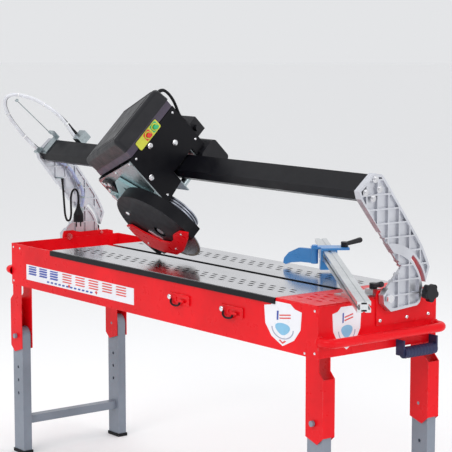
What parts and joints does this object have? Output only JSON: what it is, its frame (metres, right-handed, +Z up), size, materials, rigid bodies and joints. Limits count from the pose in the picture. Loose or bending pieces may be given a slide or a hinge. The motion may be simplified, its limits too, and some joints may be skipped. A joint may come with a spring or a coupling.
{
  "type": "wet tile saw",
  "caption": "Wet tile saw: a cutting head slides along a tilting bridge over a perforated steel table, on a red water-tray frame with folding legs.",
  "frame": {"origin": "on the floor, under the middle of the box of everything but the free cords", "axes": "+X along the beam to the right, +Y to the back, +Z up"},
  "size_m": [1.9935, 0.6915, 1.3998],
  "materials": {
    "red_paint": "gloss powder coat",
    "black_paint": "satin powder coat",
    "stainless": "brushed",
    "zinc": "galvanised",
    "cast_alloy": "as cast",
    "bar_alloy": "anodised",
    "bolt_steel": "polished",
    "leg_paint": "satin powder coat",
    "black_rubber": "matt",
    "black_plastic": "fine moulded grain",
    "skirt_plastic": "fine moulded grain",
    "tray_plastic": "moulded",
    "blue_paint": "gloss powder coat",
    "navy_foam": "foam grip",
    "pump_plastic": "moulded",
    "sticker_film": "printed film",
    "yellow_plate": "moulded",
    "green_button": "moulded",
    "red_button": "moulded",
    "roller_plastic": "turned",
    "clear_hose": "translucent hose",
    "blue_hose": "translucent hose",
    "arm_paint": "satin",
    "blade_steel": "ground",
    "motor_alloy": "painted casting"
  },
  "bodies": {
    "frame": {"front_panel": "red_paint", "back_panel": "red_paint", "end_panels": "red_paint", "cross_members": "red_paint", "corner_posts": "red_paint", "end_brackets": "red_paint", "edge_rails": "black_paint", "top_plate": "red_paint", "table_front": "stainless", "table_back": "stainless", "water_tray": "tray_plastic", "pump": "pump_plastic", "drain_plug": "black_rubber", "stickers": "sticker_film", "latches": "red_paint", "latch_bolts": "bolt_steel", "handles": "red_paint", "pivot_bolts": "bolt_steel", "tow_grip": "navy_foam"},
    "knob_left": {"knob_left": "black_plastic"},
    "knob_right": {"knob_right": "black_plastic"},
    "legs_left": {"leg_pair_left": "leg_paint", "leg_feet_left": "black_rubber"},
    "legs_right": {"leg_pair_right": "leg_paint", "leg_feet_right": "black_rubber"},
    "fence": {"fence_bar": "bar_alloy"},
    "fence_lever": {"fence_lever": "black_plastic"},
    "mitre": {"mitre_clamp": "blue_paint"},
    "mitre_fin": {"mitre_fin": "blue_paint"},
    "mitre_lever": {"mitre_lever": "black_plastic"},
    "bridge": {"arch_left": "cast_alloy", "arch_right": "cast_alloy", "beam": "black_paint", "arch_bolts": "bolt_steel", "loop_stay": "zinc", "power_cable": "black_rubber", "water_hose": "clear_hose", "pump_hose": "blue_hose"},
    "plug_drop": {"plug_lead": "black_rubber", "plug": "black_rubber"},
    "carriage": {"carriage_box": "black_paint", "carriage_front": "zinc", "roller_frame": "zinc", "lid": "black_plastic", "lid_skirt": "skirt_plastic", "switch_plate": "yellow_plate", "connector_box": "black_plastic", "head_lead": "black_rubber", "rear_housing": "black_plastic", "head_pin": "bolt_steel"},
    "button_start": {"button_start": "green_button"},
    "button_stop": {"button_stop": "red_button"},
    "roller_a": {"roller_a": "roller_plastic"},
    "roller_b": {"roller_b": "roller_plastic"},
    "head": {"guard": "black_paint", "motor": "motor_alloy", "head_arm": "arm_paint", "splash_flap": "black_rubber"},
    "cover": {"lower_cover": "red_paint"},
    "blade": {"blade": "blade_steel"}
  },
  "joints": [
    {"name": "bridge_tilt", "type": "hinge", "parent": "frame", "child": "bridge", "pos_m": [-0.0562, 0.0086, 0.804], "axis": [1, 0, 0], "range_deg": [-45, 0]},
    {"name": "carriage_slide", "type": "slide", "parent": "bridge", "child": "carriage", "axis": [1, 0, 0], "range_m": [-0.36, 0.62]},
    {"name": "plunge", "type": "hinge", "parent": "carriage", "child": "head", "pos_m": [-0.3207, -0.17666, 1.02886], "axis": [0, 0.7071, 0.7071], "range_deg": [0, 24], "stiffness_Nm_per_rad": 18, "springref_deg": -103.13},
    {"name": "cover_lift", "type": "slide", "parent": "head", "child": "cover", "axis": [-0.5878, -0.5721, 0.5721], "range_m": [0, 0.034]},
    {"name": "blade_spin", "type": "hinge", "parent": "head", "child": "blade", "pos_m": [-0.1247, -0.11868, 0.93128], "axis": [0, 0.7071, 0.7071], "continuous": true},
    {"name": "roller_a_spin", "type": "hinge", "parent": "carriage", "child": "roller_a", "pos_m": [-0.3327, -0.09131, 1.16696], "axis": [0, 0.7071, 0.7071], "continuous": true},
    {"name": "roller_b_spin", "type": "hinge", "parent": "carriage", "child": "roller_b", "pos_m": [-0.1027, -0.09131, 1.16696], "axis": [0, 0.7071, 0.7071], "continuous": true},
    {"name": "start_press", "type": "slide", "parent": "carriage", "child": "button_start", "axis": [-1, 0, 0], "range_m": [0, 0.003], "stiffness_N_per_m": 300, "springref_m": -0.002},
    {"name": "stop_press", "type": "slide", "parent": "carriage", "child": "button_stop", "axis": [-1, 0, 0], "range_m": [0, 0.003], "stiffness_N_per_m": 300, "springref_m": -0.002},
    {"name": "plug_swing", "type": "hinge", "parent": "bridge", "child": "plug_drop", "pos_m": [-0.8987, -0.0364, 1.032], "axis": [1, 0, 0], "range_deg": [0, 45]},
    {"name": "knob_left_turn", "type": "hinge", "parent": "frame", "child": "knob_left", "pos_m": [-0.9777, 0.1586, 0.809], "axis": [1, 0, 0], "continuous": true},
    {"name": "knob_right_turn", "type": "hinge", "parent": "frame", "child": "knob_right", "pos_m": [0.8653, 0.1586, 0.809], "axis": [1, 0, 0], "continuous": true},
    {"name": "legs_left_fold", "type": "hinge", "parent": "frame", "child": "legs_left", "pos_m": [-0.9117, -0.0014, 0.45], "axis": [0, -1, 0], "range_deg": [0, 90]},
    {"name": "legs_right_fold", "type": "hinge", "parent": "frame", "child": "legs_right", "pos_m": [0.7993, -0.0014, 0.45], "axis": [0, 1, 0], "range_deg": [0, 90]},
    {"name": "fence_slide", "type": "slide", "parent": "frame", "child": "fence", "axis": [1, 0, 0], "range_m": [-0.25, 0.008]},
    {"name": "fence_lever_turn", "type": "hinge", "parent": "fence", "child": "fence_lever", "pos_m": [0.7753, 0.0166, 0.83], "axis": [0, 0, 1], "range_deg": [-45, 0]},
    {"name": "mitre_slide", "type": "slide", "parent": "fence", "child": "mitre", "axis": [-0.8318, 0.5526, 0.0523], "range_m": [-0.04, 0.12]},
    {"name": "mitre_turn", "type": "hinge", "parent": "mitre", "child": "mitre_fin", "pos_m": [0.30284, 0.18853, 0.84535], "axis": [0.0436, -0.029, 0.9986], "range_deg": [-28, 45]},
    {"name": "mitre_lever_turn", "type": "hinge", "parent": "mitre", "child": "mitre_lever", "pos_m": [0.36569, 0.26443, 0.88987], "axis": [0.0436, -0.029, 0.9986], "range_deg": [0, 90]}
  ],
  "couplings": [
    {"joint": "roller_a_spin", "follows": "carriage_slide", "rad_per_m": 55.556},
    {"joint": "roller_b_spin", "follows": "carriage_slide", "rad_per_m": 55.556},
    {"joint": "plug_swing", "follows": "bridge_tilt", "ratio": -1},
    {"joint": "cover_lift", "follows": "plunge", "m_per_rad": 0.08109}
  ]
}
